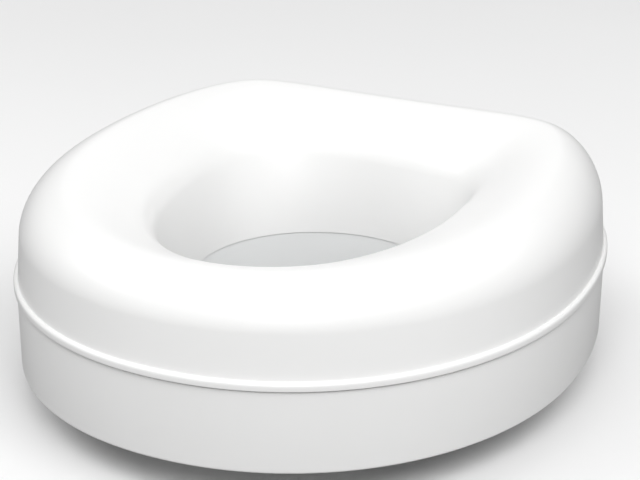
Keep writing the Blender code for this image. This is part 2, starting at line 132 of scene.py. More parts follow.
# ---- Wells, bosses, webs and ribs
JOINT_Z = FLOOR_Z + 0.048  # where a boss meets a well
WELL_R = 0.0075
WELL_BORE_R = 0.0052
LEDGE = 0.004
SCREW_HOLE_R = 0.0024
PILOT_DEPTH = 0.020
BOSS_R = 0.0055
DRAFT = 0.001
WEB_THICK = 0.002
WEB_FOOT_Z = BEAD_TOP_Z + 0.012
TONGUE_CLEAR = 0.012
COLLAR_CLEAR = 0.012
RIB_HEIGHT = 0.018
RIB_CLEAR = 0.0012
OVERRUN = 0.002  # a cutter passes the wall that it cuts

# ---- Holes and marks in the floor
DRAIN_STATIONS = (0, 17.5 / 64, -17.5 / 64, 0.5)  # as parts of the way round
DRAIN_INSET = 0.018
DRAIN_R = 0.003
EJECTOR_R = 0.004
EJECTOR_DEPTH = 0.00015
EJECTOR_PLACES = 18
EJECTOR_INSET = 0.026
EJECTOR_CLEAR = 0.006  # from a pad's edge to the middle of a mark

# ---- Pads
PAD_WIDTH = 0.018
PAD_RECESS = 0.001
PAD_EDGE = 0.0008
TREAD_PITCH = 0.0035
TREAD_WIDTH = 0.0011
TREAD_DEPTH = 0.0006
PEG_SPACING = 0.024
PEG_R = 0.0022
BARB_R = 0.0036
BARB_HEIGHT = 0.003
BARB_TIP_R = 0.0013

# ---- Screws
SCREW_LENGTH = 0.020
SCREW_R = 0.002
CORE_R = 0.0014
THREAD_PITCH = 0.0024
TIP_LENGTH = 0.004
TIP_R = 0.3 * CORE_R
TIP_CHAMFER = 0.0004
THREAD_ROOT = 0.8  # where the thread's section starts, as a part of the core's radius
THREAD_HALF = 0.32  # half the thread's thickness at its root, as a part of the pitch
THREAD_END = 0.15  # how much of the thread's height is left at the tip
HEAD_R = 0.0042
HEAD_HEIGHT = 0.003
HEAD_CHAMFER = 0.0002
HEAD_SIDE = 0.4  # the part of the head's height that is upright
HEAD_FACE = 0.45  # the part of the head's radius that is flat
RECESS_WIDTH = 0.0011
RECESS_LENGTH = 0.0046
RECESS_DEPTH = 0.0018

# ---- Mesh
STATIONS = 288
OUTLINE_POINTS = 2880
ROUND_STEPS = 6  # rings round a small corner
DOME_RINGS = 30
DISH_RINGS = 26
SIDES = 48
HEAD_STEPS = 9  # from the side of a screw's head to its face
HUB = Vector((0.0, -0.004))
TIGHTEST = 0.004  # no corner of an outline is rounder than this, so a shallower inset never folds

# ---- Camera: where it looks from, and at what
CAMERA_AZIMUTH = 25.65
CAMERA_ELEVATION = 22.06
CAMERA_DISTANCE = 1.4052
CAMERA_TARGET = Vector((0.0, 0.0183, 0.087))
CAMERA_ROLL = 0.11
CAMERA_LENS = 115.83
CAMERA_SHIFT = (0.0130, 0.0164)

# ---- Lights: azimuth, elevation, size and power of each softbox
LIGHT_DISTANCE = 3.0
SOFTBOXES = {
    "front_low": (25, 20, 1.5, 7.3),
    "front_high": (25, 45, 1.5, 39.5),
    "right": (65, 45, 1.5, 17),
    "right_rear": (115, 45, 1.5, 11),
    "left": (-65, 45, 1.5, 22),
    "rear": (205, 20, 1.5, 4),
}
WORLD_STRENGTH = 0.42

# ---- The floor, as it is seen and as it lights the seat
FLOOR_TONE = ((0.90, 0.90, 0.90), (0.92, 0.92, 0.92))
FLOOR_BOUNCE = (0.30, 0.30, 0.30)


# ---------------------------------------------------------------- outlines, seen from above


def oval(half_width, front, rear, front_power, rear_power):
    """Two half superellipses on a common widest line, from the front's middle by way of the +X side."""
    turn = np.linspace(0, 2 * math.pi, OUTLINE_POINTS, endpoint=False)
    across, along = np.sin(turn), -np.cos(turn)
    behind = along > 0
    power = np.where(behind, rear_power, front_power)
    reach = (np.abs(across) ** power + np.abs(along) ** power) ** (-1 / power)
    length = np.where(behind, rear, front)
    return np.stack([half_width * across * reach, length * along * reach], 1)


def bead_outline():
    """The bead's edge: an oval whose rear is drawn in, and hollowed a little in its middle."""
    x, y = oval(WIDTH / 2, FRONT_REACH, REAR_REACH, FRONT_POWER, REAR_POWER).T
    back = np.clip(y / REAR_REACH, 0, 1)
    x = x * (1 - REAR_TAPER * back**2)
    middle = np.cos(np.clip(x / WAIST_REACH, -1, 1) * math.pi / 2) ** 2
    return np.stack([x, y - REAR_WAIST * middle * back], 1)


class Outline:
    """A closed outline read as radii from the hub, at any distance in from it (or out, when negative)."""

    def __init__(self, points):
        self.points = points
        ahead = np.roll(points, -1, 0) - np.roll(points, 1, 0)
        self.inward = np.stack([-ahead[:, 1], ahead[:, 0]], 1) / np.hypot(*ahead.T)[:, None]

    def at(self, headings, inset=0.0):
        moved = self.points + inset * self.inward
        if inset > TIGHTEST:
            away = [np.hypot(*(self.points - point).T).min() for point in moved]
            moved = moved[np.array(away) > inset - 1e-7]
        heading, radius = polar(moved)
        return np.interp(headings, heading, radius, period=2 * math.pi)


def polar(points):
    arm = points - np.array(HUB)
    return np.arctan2(arm[:, 1], arm[:, 0]), np.hypot(arm[:, 0], arm[:, 1])


def station_headings(points):
    """Headings spread evenly over half the outline's length and turning together, then mirrored."""
    half = points[: OUTLINE_POINTS // 2 + 1]
    ahead = np.diff(half, axis=0)
    length = np.hypot(ahead[:, 0], ahead[:, 1])
    turning = np.abs(np.gradient(np.unwrap(np.arctan2(ahead[:, 1], ahead[:, 0]))))
    measure = np.append(0, np.cumsum(length / length.sum() + turning / turning.sum()))
    heading, _ = polar(half)
    right = np.interp(np.linspace(0, measure[-1], STATIONS // 2 + 1), measure, np.unwrap(heading))
    return np.append(right, math.pi - right[-2:0:-1])


OUTLINE = bead_outline()
WIDEST_Y = -(OUTLINE[:, 1].max() + OUTLINE[:, 1].min()) / 2  # which centres the outline on the origin
BEAD = Outline(OUTLINE + np.array([0, WIDEST_Y]))
MOUTH_EDGE = Outline(oval(**MOUTH) + np.array([0, WIDEST_Y + OPENING_BACK]))
THROAT_EDGE = Outline(oval(**THROAT) + np.array([0, WIDEST_Y + OPENING_BACK]))
HEADINGS = station_headings(BEAD.points)


def place(radius, z, heading):
    return Vector((HUB.x + radius * math.cos(heading), HUB.y + radius * math.sin(heading), z))


def heading_of(point):
    return math.atan2(point.y - HUB.y, point.x - HUB.x)


def spot(heading, inset, z=0.0):
    """A point this far in from the bead's edge, on a heading."""
    return place(float(BEAD.at(heading, inset)), z, heading)


def heading_round(part):
    """The heading at a part of the way round, counted in stations from the front's middle."""
    turns = np.append(HEADINGS, HEADINGS[0] + 2 * math.pi)
    return float(np.interp(part % 1 * STATIONS, np.arange(STATIONS + 1), turns))


# ---------------------------------------------------------------- sections, as rings of (radius, height)


def ring(outline, inset, z):
    return outline.at(HEADINGS, inset), np.full(STATIONS, z)


def corner(before, at, after, steps=ROUND_STEPS):
    """Rings round a corner, on a curve that meets both of its sides."""
    rings = []
    for part in np.linspace(0, 1, steps):
        weights = ((1 - part) ** 2, 2 * part * (1 - part), part**2)
        stacked = zip(before, at, after)
        rings.append(tuple(sum(w * value for w, value in zip(weights, values)) for values in stacked))
    return rings


def edge_round(outline, inset, z, into, rise, steps=ROUND_STEPS):
    """Rings round an edge, from its side, a rise away, to its level face, this far in from the outline."""
    side = ring(outline, inset, z - rise)
    face = ring(outline, inset + into, z)
    return corner(side, ring(outline, inset, z), face, steps)


def crest_height(radius, headings):
    """The crest rises from the front to the rear."""
    return CREST_Z + REAR_RISE * (HUB.y + radius * np.sin(headings)) / HALF_LENGTH


def seat_curve(headings):
    """The seat's upper surface, from the foot of its wall over the crest and down into the collar."""
    level = np.ones(len(headings))
    foot = BEAD.at(headings, WALL_INSET)
    shoulder = BEAD.at(headings, WALL_INSET + WALL_LEAN)
    crest = BEAD.at(headings, CREST_INSET)
    mouth = MOUTH_EDGE.at(headings)
    throat = THROAT_EDGE.at(headings)
    top = crest_height(crest, headings)
    foot_z = BEAD_TOP_Z + WALL_FILLET
    lean = (shoulder - foot) / (SHOULDER_Z - foot_z)
    rings = [(foot, foot_z * level)]
    for turn in np.linspace(0, math.pi / 2, DOME_RINGS):
        climb = (top - SHOULDER_Z) * math.sin(turn)
        rings.append((crest + (shoulder + lean * climb - crest) * math.cos(turn), SHOULDER_Z + climb))
    last = 1 - MOUTH_ROUND / (crest - mouth)
    for step in np.linspace(0, 1, DISH_RINGS)[1:]:
        run = last * step
        fall = (np.hypot(1, DISH_BEND * run) - 1) / (math.hypot(1, DISH_BEND) - 1)
        rings.append((crest + (mouth - crest) * run, top + (MOUTH_Z - top) * fall))
    share = MOUTH_ROUND / (MOUTH_Z - THROAT_Z)
    after = (mouth + (throat - mouth) * share, (MOUTH_Z - MOUTH_ROUND) * level)
    rings += corner(rings.pop(), (mouth, MOUTH_Z * level), after, 2 * ROUND_STEPS)
    rings.append((throat, THROAT_Z * level))
    return rings


def beneath(rings, depth):
    """The rings moved down through the wall, square to the section."""
    radius = np.array([r for r, _ in rings])
    height = np.array([z for _, z in rings])
    run, climb = np.diff(radius, axis=0), np.diff(height, axis=0)
    size = np.hypot(run, climb)
    run, climb = (np.concatenate([a[:1], a[1:] + a[:-1], a[-1:]]) for a in (run / size, climb / size))
    size = np.hypot(run, climb)
    return list(zip(radius - depth * climb / size, height + depth * run / size))


def seat_section():
    lower_z = BEAD_TOP_Z - BEAD_HEIGHT
    foot_z = BEAD_TOP_Z + WALL_FILLET
    curve = seat_curve(HEADINGS)
    lining = beneath(curve, SEAT_WALL)
    lining[0] = ring(BEAD, WALL_INSET + SEAT_WALL, BEAD_TOP_Z)
    lining[-1] = ring(THROAT_EDGE, -SEAT_WALL + COLLAR_ROUND, THROAT_Z)
    before_lip = (curve[-1][0], curve[-1][1] + COLLAR_ROUND)
    lip = corner(before_lip, curve[-1], ring(THROAT_EDGE, -COLLAR_ROUND, THROAT_Z))
    return [
        ring(BEAD, WALL_INSET + SEAT_WALL, lower_z),
        *edge_round(BEAD, 0, lower_z, BEAD_LOWER_ROUND, -BEAD_LOWER_ROUND)[::-1],
        *edge_round(BEAD, 0, BEAD_TOP_Z, BEAD_ROUND_END, BEAD_UPPER_ROUND, 2 * ROUND_STEPS),
        *corner(
            ring(BEAD, BEAD_ROUND_END, BEAD_TOP_Z),
            ring(BEAD, WALL_INSET, BEAD_TOP_Z),
            ring(BEAD, WALL_INSET, foot_z),
        )[1:-1],
        *curve[:-1],
        *lip,
        *lining[::-1],
    ]


def base_section():
    foot = SKIRT_INSET + SKIRT_LEAN
    shelf_z = BEAD_TOP_Z - BEAD_HEIGHT - REVEAL
    tongue = WALL_INSET + SEAT_WALL + GAP
    tongue_z = BASE_HIGH.z
    inner_z = FLOOR_Z + FLOOR_THICK
    wall_foot = ring(BEAD, foot + BASE_WALL, inner_z + BASE_WALL)
    floor_edge = ring(BEAD, foot + 2 * BASE_WALL, inner_z)
    return [
        *edge_round(BEAD, foot, FLOOR_Z, SKIRT_ROUND, -SKIRT_ROUND, 2 * ROUND_STEPS)[::-1],
        *edge_round(BEAD, SKIRT_INSET, shelf_z, SKIRT_EDGE, SKIRT_EDGE),
        ring(BEAD, tongue, shelf_z),
        *edge_round(BEAD, tongue + TONGUE_LEAN, tongue_z, TONGUE_THICK / 3, TONGUE_THICK / 3),
        ring(BEAD, tongue + TONGUE_LEAN + TONGUE_THICK, tongue_z),
        ring(BEAD, tongue + TONGUE_THICK, shelf_z - BASE_WALL / 2),
        ring(BEAD, SKIRT_INSET + BASE_WALL, shelf_z - 2 * BASE_WALL),
        *corner(wall_foot, ring(BEAD, foot + BASE_WALL, inner_z), floor_edge),
        ring(THROAT_EDGE, -FLOOR_EDGE - FLOOR_ROUND, inner_z),
        ring(THROAT_EDGE, -FLOOR_EDGE, inner_z - FLOOR_ROUND),
        *edge_round(THROAT_EDGE, -FLOOR_EDGE, FLOOR_Z, -FLOOR_ROUND, -FLOOR_ROUND),
    ]


def guard_section():
    def inner(z, out=0.0):
        share = (z - GUARD_LOW.z) / (GUARD_TOP_Z - GUARD_LOW.z)
        return ring(THROAT_EDGE, -GUARD_FOOT - (GUARD_HEAD - GUARD_FOOT) * share - out, z)

    def outer(z, back=0.0):
        radius, height = inner(z)
        return radius + GUARD_WALL - back, height

    low_z, top_z = GUARD_LOW.z, GUARD_TOP_Z
    flange_z = FLOOR_Z + FLOOR_THICK + GAP
    flange_top_z = flange_z + GUARD_WALL
    rim = ring(THROAT_EDGE, -GUARD_FLANGE + GUARD_ROUND, flange_z)
    rim_top = ring(THROAT_EDGE, -GUARD_FLANGE + GUARD_ROUND, flange_top_z)
    side = ring(THROAT_EDGE, -GUARD_FLANGE, flange_z + GUARD_ROUND)
    side_top = ring(THROAT_EDGE, -GUARD_FLANGE, flange_top_z - GUARD_ROUND)
    return [
        *corner(inner(low_z + GUARD_ROUND), inner(low_z), inner(low_z, GUARD_ROUND)),
        *corner(outer(low_z, GUARD_ROUND), outer(low_z), outer(low_z + GUARD_ROUND)),
        outer(flange_z - 2 * GUARD_ROUND),
        outer(flange_z),
        *corner(rim, ring(THROAT_EDGE, -GUARD_FLANGE, flange_z), side),
        *corner(side_top, ring(THROAT_EDGE, -GUARD_FLANGE, flange_top_z), rim_top),
        *corner(
            outer(flange_top_z, -GUARD_ROUND),
            outer(flange_top_z),
            outer(flange_top_z + GUARD_ROUND),
        ),
        *corner(outer(top_z - GUARD_ROUND), outer(top_z), outer(top_z, GUARD_ROUND)),
        *corner(inner(top_z, GUARD_TOP_ROUND), inner(top_z), inner(top_z - GUARD_TOP_ROUND)),
    ]


# ---------------------------------------------------------------- building


def mesh_object(name, shape):
    mesh = bpy.data.meshes.new(name)
    shape.to_mesh(mesh)
    shape.free()
    thing = bpy.data.objects.new(name, mesh)
    bpy.context.scene.collection.objects.link(thing)
    return thing


def closed_loft(name, rings):
    """One closed skin through rings that go round the seat, where the last ring meets the first."""
    shape = bmesh.new()
    grid = []
    for radius, height in rings:
        grid.append([shape.verts.new(place(r, z, a)) for r, z, a in zip(radius, height, HEADINGS)])
    for near, far in zip(grid, grid[1:] + grid[:1]):
        for i in range(STATIONS):
            j = (i + 1) % STATIONS
            shape.faces.new((near[i], near[j], far[j], far[i]))
    bmesh.ops.remove_doubles(shape, verts=shape.verts, dist=1e-6)
    bmesh.ops.recalc_face_normals(shape, faces=shape.faces)
    return mesh_object(name, shape)


def cylinders(name, spots, low, high, low_radius, high_radius):
    """Upright cylinders or cones, one at each spot. high is one height, or a list of one for each."""
    shape = bmesh.new()
    tops = high if isinstance(high, list) else [high] * len(spots)
    for centre, top in zip(spots, tops):
        bmesh.ops.create_cone(
            shape,
            cap_ends=True,
            segments=SIDES,
            radius1=low_radius,
            radius2=high_radius,
            depth=top - low,
            matrix=Matrix.Translation((centre.x, centre.y, (low + top) / 2)),
        )
    return mesh_object(name, shape)


def plates(name, outlines, thickness):
    """Flat plates of one thickness, each made from the outline of its middle plane."""
    shape = bmesh.new()
    for outline in outlines:
        shape.faces.new([shape.verts.new(point) for point in outline])
    thing = mesh_object(name, shape)
    solid = thing.modifiers.new("thickness", "SOLIDIFY")
    solid.thickness = thickness
    solid.offset = 0
    return thing


def turned(name, profile):
    """A profile of (radius, height), from its top down its outer side, turned round the object's Z axis."""
    shape = bmesh.new()
    line = [shape.verts.new((radius, 0, height)) for radius, height in profile]
    for start, end in zip(line, line[1:]):
        shape.edges.new((start, end))
    thing = mesh_object(name, shape)
    turn = thing.modifiers.new("turn", "SCREW")
    turn.steps = SIDES
    turn.render_steps = SIDES
    turn.use_merge_vertices = True
    turn.merge_threshold = 0.00001
    return thing


def combine(target, tool, operation):
    modifier = target.modifiers.new(tool.name, "BOOLEAN")
    modifier.operation = operation
    modifier.solver = "EXACT"
    modifier.object = tool


def settle(thing, smooth_below=30):
    """Turns the modifiers' result into the object's own mesh and removes the objects that they used."""
    tools = [modifier.object for modifier in thing.modifiers if modifier.type == "BOOLEAN"]
    evaluated = thing.evaluated_get(bpy.context.evaluated_depsgraph_get())
    mesh = bpy.data.meshes.new_from_object(evaluated)
    thing.modifiers.clear()
    thing.data = mesh
    mesh.name = thing.name
    for tool in tools:
        bpy.data.objects.remove(tool)
    mesh.shade_smooth()
    mesh.set_sharp_from_angle(angle=math.radians(smooth_below))
    return thing


def stand_for(thing, node, look):
    """Puts a finished piece in the place of its CAD node."""
    thing.data.materials.clear()
    thing.data.materials.append(look)
    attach(thing, "root")
    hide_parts(node)


# ---------------------------------------------------------------- where the frame's small parts stand

SIDES_OF_SEAT = ("left", "right")
SCREW_NODES = [f"screw_{side}_{number}" for side in SIDES_OF_SEAT for number in range(1, 5)]
PAD_NODES = [f"pad_{end}_{side}" for end in ("front", "rear") for side in SIDES_OF_SEAT]


def middle(node):
    low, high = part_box(node)
    return (low + high) / 2


def lying(node):
    """Where a flat oblong node lies: the middle of its underside, with X along its length."""
    low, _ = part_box(node)
    centre = middle(node)
    points = np.array([vertex.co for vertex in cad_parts[node].data.vertices])
    _, axes = np.linalg.eigh(np.cov(points[:, :2].T))
    turn = math.atan2(axes[1, -1], axes[0, -1])
    return Matrix.Translation((centre.x, centre.y, low.z)) @ Matrix.Rotation(turn, 4, "Z")


SCREW_SPOTS = [middle(node) for node in SCREW_NODES]
PAD_FRAMES = [lying(node) for node in PAD_NODES]


# ---------------------------------------------------------------- the seat shell


def web_outline(point):
    """A web's outline: along the middle of the seat's wall to the collar, then back under it."""
    heading = heading_of(point)
    curve = beneath(seat_curve(np.array([heading])), SEAT_WALL / 2)
    edge = [place(float(radius[0]), float(height[0]), heading) for radius, height in curve[1:]]
    foot = edge.pop()
    low_z = THROAT_Z + COLLAR_CLEAR
    collar_end = edge[-1].lerp(foot, (edge[-1].z - low_z) / (edge[-1].z - foot.z))
    return [
        spot(heading, WALL_INSET + SEAT_WALL / 2, WEB_FOOT_Z),
        *edge,
        collar_end,
        spot(heading, CREST_INSET, low_z),
        spot(heading, TONGUE_CLEAR, WEB_FOOT_Z),
    ]


def seat_shell():
    shell = closed_loft("seat_shell_skin", seat_section())
    tops = []
    for point in SCREW_SPOTS:
        radius = (point.xy - HUB).length
        tops.append(float(crest_height(radius, heading_of(point))) - SEAT_WALL / 2)
    webs = plates("seat_webs", [web_outline(point) for point in SCREW_SPOTS], WEB_THICK)
    bosses = cylinders("bosses", SCREW_SPOTS, JOINT_Z + GAP, tops, BOSS_R, BOSS_R + DRAFT)
    low, high = JOINT_Z - OVERRUN, JOINT_Z + PILOT_DEPTH
    pilots = cylinders("pilot_holes", SCREW_SPOTS, low, high, SCREW_HOLE_R, SCREW_HOLE_R)
    combine(shell, webs, "UNION")
    combine(shell, bosses, "UNION")
    combine(shell, pilots, "DIFFERENCE")
    return settle(shell)


# ---------------------------------------------------------------- the base shell


def rib_outline(point):
    """A rib's outline: on the floor, from the guard's flange past the well to the skirt's wall."""
    heading = heading_of(point)
    flange = float(THROAT_EDGE.at(heading, -GUARD_FLANGE)) + RIB_CLEAR
    wall = float(BEAD.at(heading, SKIRT_INSET + SKIRT_LEAN + BASE_WALL / 2))
    low_z = FLOOR_Z + FLOOR_THICK / 2
    top_z = FLOOR_Z + FLOOR_THICK + RIB_HEIGHT
    return [
        place(flange, low_z, heading),
        place(wall, low_z, heading),
        place(wall, top_z, heading),
        place(flange + RIB_HEIGHT / 2, top_z, heading),
        place(flange, FLOOR_Z + 2 * FLOOR_THICK, heading),
    ]


def stadium(length, width, z):
    """A round-ended oblong along X, at height z."""
    corners = []
    for end in (1, -1):
        centre = Vector((end * (length - width) / 2, 0, z))
        for angle in np.linspace(-math.pi / 2, math.pi / 2, SIDES // 2):
            corners.append(centre + end * width / 2 * Vector((math.cos(angle), math.sin(angle), 0)))
    return corners


def pad_length(node):
    """A pad's length, from the corners of its box and its own width."""
    low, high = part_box(node)
    reach = (high - low).xy - Vector((PAD_WIDTH, PAD_WIDTH))
    return reach.length + PAD_WIDTH


def from_pad(point, node, lies):
    """How far a point of the floor is from a pad's edge."""
    local = lies.inverted() @ point
    past_end = max(0, abs(local.x) - (pad_length(node) - PAD_WIDTH) / 2)
    return math.hypot(past_end, local.y) - PAD_WIDTH / 2


def ejector_spots():
    """Where the mould's ejector pins pushed on the floor, clear of the wells and the pads."""
    spots = []
    for place_number in range(EJECTOR_PLACES):
        point = spot(heading_round((place_number + 0.5) / EJECTOR_PLACES), EJECTOR_INSET)
        to_screw = min((point.xy - other.xy).length for other in SCREW_SPOTS)
        to_pad = min(from_pad(point, node, lies) for node, lies in zip(PAD_NODES, PAD_FRAMES))
        if to_screw > 2 * WELL_R and to_pad > EJECTOR_CLEAR:
            spots.append(point)
    return spots


def base_shell():
    shell = closed_loft("base_shell_skin", base_section())
    ribs = plates("base_ribs", [rib_outline(point) for point in SCREW_SPOTS], WEB_THICK)
    low = FLOOR_Z + FLOOR_THICK / 2
    wells = cylinders("wells", SCREW_SPOTS, low, JOINT_Z, WELL_R + DRAFT, WELL_R)
    low, high = FLOOR_Z - OVERRUN, JOINT_Z - LEDGE
    bores = cylinders("well_bores", SCREW_SPOTS, low, high, WELL_BORE_R, WELL_BORE_R)
    low, high = high - OVERRUN, JOINT_Z + OVERRUN
    holes = cylinders("screw_holes", SCREW_SPOTS, low, high, SCREW_HOLE_R, SCREW_HOLE_R)
    outlines = []
    for node, lies in zip(PAD_NODES, PAD_FRAMES):
        oblong = stadium(pad_length(node) + 2 * GAP, PAD_WIDTH + 2 * GAP, FLOOR_Z - lies.translation.z)
        outlines.append([lies @ point for point in oblong])
    recesses = plates("pad_recesses", outlines, 2 * PAD_RECESS)
    low, high = FLOOR_Z - OVERRUN, FLOOR_Z + FLOOR_THICK + OVERRUN
    spots = [lies @ Vector((x, 0, 0)) for lies in PAD_FRAMES for x in (-PEG_SPACING / 2, PEG_SPACING / 2)]
    pegs = cylinders("peg_holes", spots, low, high, PEG_R + GAP, PEG_R + GAP)
    spots = [spot(heading_round(part), DRAIN_INSET) for part in DRAIN_STATIONS]
    drains = cylinders("drain_holes", spots, low, high, DRAIN_R, DRAIN_R)
    low, high = FLOOR_Z - OVERRUN, FLOOR_Z + EJECTOR_DEPTH
    marks = cylinders("ejector_marks", ejector_spots(), low, high, EJECTOR_R, EJECTOR_R)
    combine(shell, ribs, "UNION")
    combine(shell, wells, "UNION")
    for cutter in (bores, holes, recesses, pegs, drains, marks):
        combine(shell, cutter, "DIFFERENCE")
    return settle(shell)


# ---------------------------------------------------------------- the pads and screws


def pad_mesh(length):
    """A pad: a soft-edged rubber oblong with a tread across its underside, and two barbed pegs on top."""
    base_z = FLOOR_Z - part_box(PAD_NODES[0])[0].z  # how far the pad stands out below the floor's face
    top_z = base_z + PAD_RECESS - GAP
    pad = plates("pad", [stadium(length, PAD_WIDTH, top_z / 2)], top_z)
    edge = pad.modifiers.new("soft edge", "BEVEL")
    edge.width = PAD_EDGE
    edge.segments = 4
    edge.angle_limit = math.radians(60)
    tread = bmesh.new()
    grooves = int((length - PAD_WIDTH) / TREAD_PITCH / 2)
    size = Matrix.Diagonal((TREAD_WIDTH, PAD_WIDTH + 2 * OVERRUN, 2 * TREAD_DEPTH, 1))
    for number in range(-grooves, grooves + 1):
        place_in_row = Matrix.Translation((number * TREAD_PITCH, 0, 0))
        bmesh.ops.create_cube(tread, size=1, matrix=place_in_row @ size)
    combine(pad, mesh_object("tread", tread), "DIFFERENCE")
    inner_z = base_z + FLOOR_THICK + GAP
    profile = [(0, inner_z + BARB_HEIGHT), (BARB_TIP_R, inner_z + BARB_HEIGHT), (BARB_R, inner_z)]
    profile += [(PEG_R, inner_z), (PEG_R, base_z / 2), (0, base_z / 2)]
    for x in (-PEG_SPACING / 2, PEG_SPACING / 2):
        peg = turned("peg", profile)
        peg.location.x = x
        combine(pad, peg, "UNION")
    return pad


def pads(look):
    pad = settle(pad_mesh(pad_length(PAD_NODES[0])))
    for node, lies in zip(PAD_NODES, PAD_FRAMES):
        copy = bpy.data.objects.new(f"{node}_rubber", pad.data)
        copy.matrix_world = lies
        bpy.context.scene.collection.objects.link(copy)
        stand_for(copy, node, look)
    bpy.data.objects.remove(pad)


def cross_outline():
    """The outline of the cross recess, in one plane."""
    arm, half = RECESS_LENGTH / 2, RECESS_WIDTH / 2
    corners = []
    for quarter in range(4):
        turn = Matrix.Rotation(quarter * math.pi / 2, 3, "Z")
        for x, y in ((arm, -half), (arm, half), (half, half)):
            corners.append(turn @ Vector((x, y, -HEAD_HEIGHT)))
    return corners


def screw_body():
    """A pan-head screw standing on its domed head. Zero is where the head seats."""
    profile = [
        (0, SCREW_LENGTH),
        (TIP_R, SCREW_LENGTH - TIP_CHAMFER),
        (CORE_R, SCREW_LENGTH - TIP_LENGTH),
        (CORE_R, 0),
        (HEAD_R - HEAD_CHAMFER, 0),
        (HEAD_R, -HEAD_CHAMFER),
        (HEAD_R, -HEAD_HEIGHT * HEAD_SIDE),
    ]
    for angle in np.linspace(0, math.pi / 2, HEAD_STEPS)[1:]:
        sink = HEAD_HEIGHT * (HEAD_SIDE + (1 - HEAD_SIDE) * math.sin(angle))
        profile.append((HEAD_R * (HEAD_FACE + (1 - HEAD_FACE) * math.cos(angle)), -sink))
    profile.append((0, -HEAD_HEIGHT))
    return turned("screw", profile)


def thread():
    """A helical ridge with a triangular section, which tapers into the tip."""
    shape = bmesh.new()
    steps = int((SCREW_LENGTH - LEDGE) / THREAD_PITCH * SIDES / 2)
    rows = []
    for step in range(steps + 1):
        angle = 4 * math.pi * step / SIDES
        z = LEDGE + THREAD_PITCH * angle / (2 * math.pi)
        tip = min(1, (SCREW_LENGTH - z) / TIP_LENGTH + THREAD_END)
        along = Vector((math.cos(angle), math.sin(angle), 0))
        root, crown = CORE_R * tip * THREAD_ROOT, SCREW_R * tip
        half = THREAD_PITCH * THREAD_HALF
        row = [along * root, along * crown, along * root]
        rows.append([shape.verts.new(p + Vector((0, 0, z + dz))) for p, dz in zip(row, (-half, 0, half))])
    for near, far in zip(rows, rows[1:]):
        for i in range(3):
            j = (i + 1) % 3
            shape.faces.new((near[i], near[j], far[j], far[i]))
    shape.faces.new(rows[0][::-1])
    shape.faces.new(rows[-1])
    bmesh.ops.recalc_face_normals(shape, faces=shape.faces)
    return mesh_object("thread", shape)


def screws(look):
    screw = screw_body()
    combine(screw, thread(), "UNION")
    combine(screw, plates("cross_recess", [cross_outline()], 2 * RECESS_DEPTH), "DIFFERENCE")
    settle(screw, 40)
    for node, point in zip(SCREW_NODES, SCREW_SPOTS):
        copy = bpy.data.objects.new(f"{node}_steel", screw.data)
        copy.location = (point.x, point.y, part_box(node)[0].z + HEAD_HEIGHT)
        bpy.context.scene.collection.objects.link(copy)
        stand_for(copy, node, look)
    bpy.data.objects.remove(screw)


# ---------------------------------------------------------------- materials


def add(tree, kind, **values):
    """A shader node whose inputs are set by name, with underscores for spaces, to a value or an output."""
    made = tree.nodes.new(kind)
    for name, value in values.items():
        socket = made.inputs.get(name.replace("_", " "))
        if socket is None:
            setattr(made, name, value)
        elif isinstance(value, bpy.types.NodeSocket):
            tree.links.new(value, socket)
        else:
            socket.default_value = value
    return made


def new_material(name):
    look = bpy.data.materials.new(name)
    look.use_nodes = True
    tree = look.node_tree
    where = tree.nodes.new("ShaderNodeTexCoord").outputs["Object"]
    return look, tree, tree.nodes["Principled BSDF"], where


def noise(tree, where, grain, detail=2.0):
    """A noise whose features are this many metres across."""
    return add(tree, "ShaderNodeTexNoise", Vector=where, Scale=1 / grain, Detail=detail).outputs["Fac"]


def spread(tree, value, low, high):
    """A noise's middle stretch spread over a range."""
    names = dict(Value=value, From_Min=0.3, From_Max=0.7, To_Min=low, To_Max=high)
    return add(tree, "ShaderNodeMapRange", **names).outputs["Result"]


def tone(tree, value, dark, light):
    ramp = tree.nodes.new("ShaderNodeValToRGB")
    tree.links.new(value, ramp.inputs["Fac"])
    ramp.color_ramp.elements[0].position, ramp.color_ramp.elements[1].position = 0.3, 0.7
    ramp.color_ramp.elements[0].color = (*dark, 1)
    ramp.color_ramp.elements[1].color = (*light, 1)
    return ramp.outputs["Color"]


def bump(tree, value, depth, strength, under=None):
    names = dict(Height=value, Distance=depth, Strength=strength)
    if under is not None:
        names["Normal"] = under
    return add(tree, "ShaderNodeBump", **names).outputs["Normal"]


def moulded_plastic(name, colour, roughness, peel):
    """Glossy moulded plastic: slow drifts of tone and gloss, flow waves, and a fine orange peel."""
    look, tree, shader, where = new_material(name)
    darker = tuple(part * 0.985 for part in colour)
    tree.links.new(tone(tree, noise(tree, where, 0.09), darker, colour), shader.inputs["Base Color"])
    gloss = spread(tree, noise(tree, where, 0.03, 1.0), roughness - 0.012, roughness + 0.012)
    tree.links.new(gloss, shader.inputs["Roughness"])
    waves = bump(tree, noise(tree, where, 0.035, 0.0), 0.0003, 0.25)
    fine = bump(tree, noise(tree, where, 0.0016, 1.0), peel, 0.5, under=waves)
    tree.links.new(fine, shader.inputs["Normal"])
    shader.inputs["IOR"].default_value = 1.49
    return look


def rubber(name, colour):
    """Matt rubber: a mottled tone and a fine grain."""
    look, tree, shader, where = new_material(name)
    darker = tuple(part * 0.8 for part in colour)
    tree.links.new(tone(tree, noise(tree, where, 0.004, 4.0), darker, colour), shader.inputs["Base Color"])
    tree.links.new(spread(tree, noise(tree, where, 0.002), 0.68, 0.82), shader.inputs["Roughness"])
    tree.links.new(bump(tree, noise(tree, where, 0.0004, 2.0), 0.00004, 0.8), shader.inputs["Normal"])
    return look


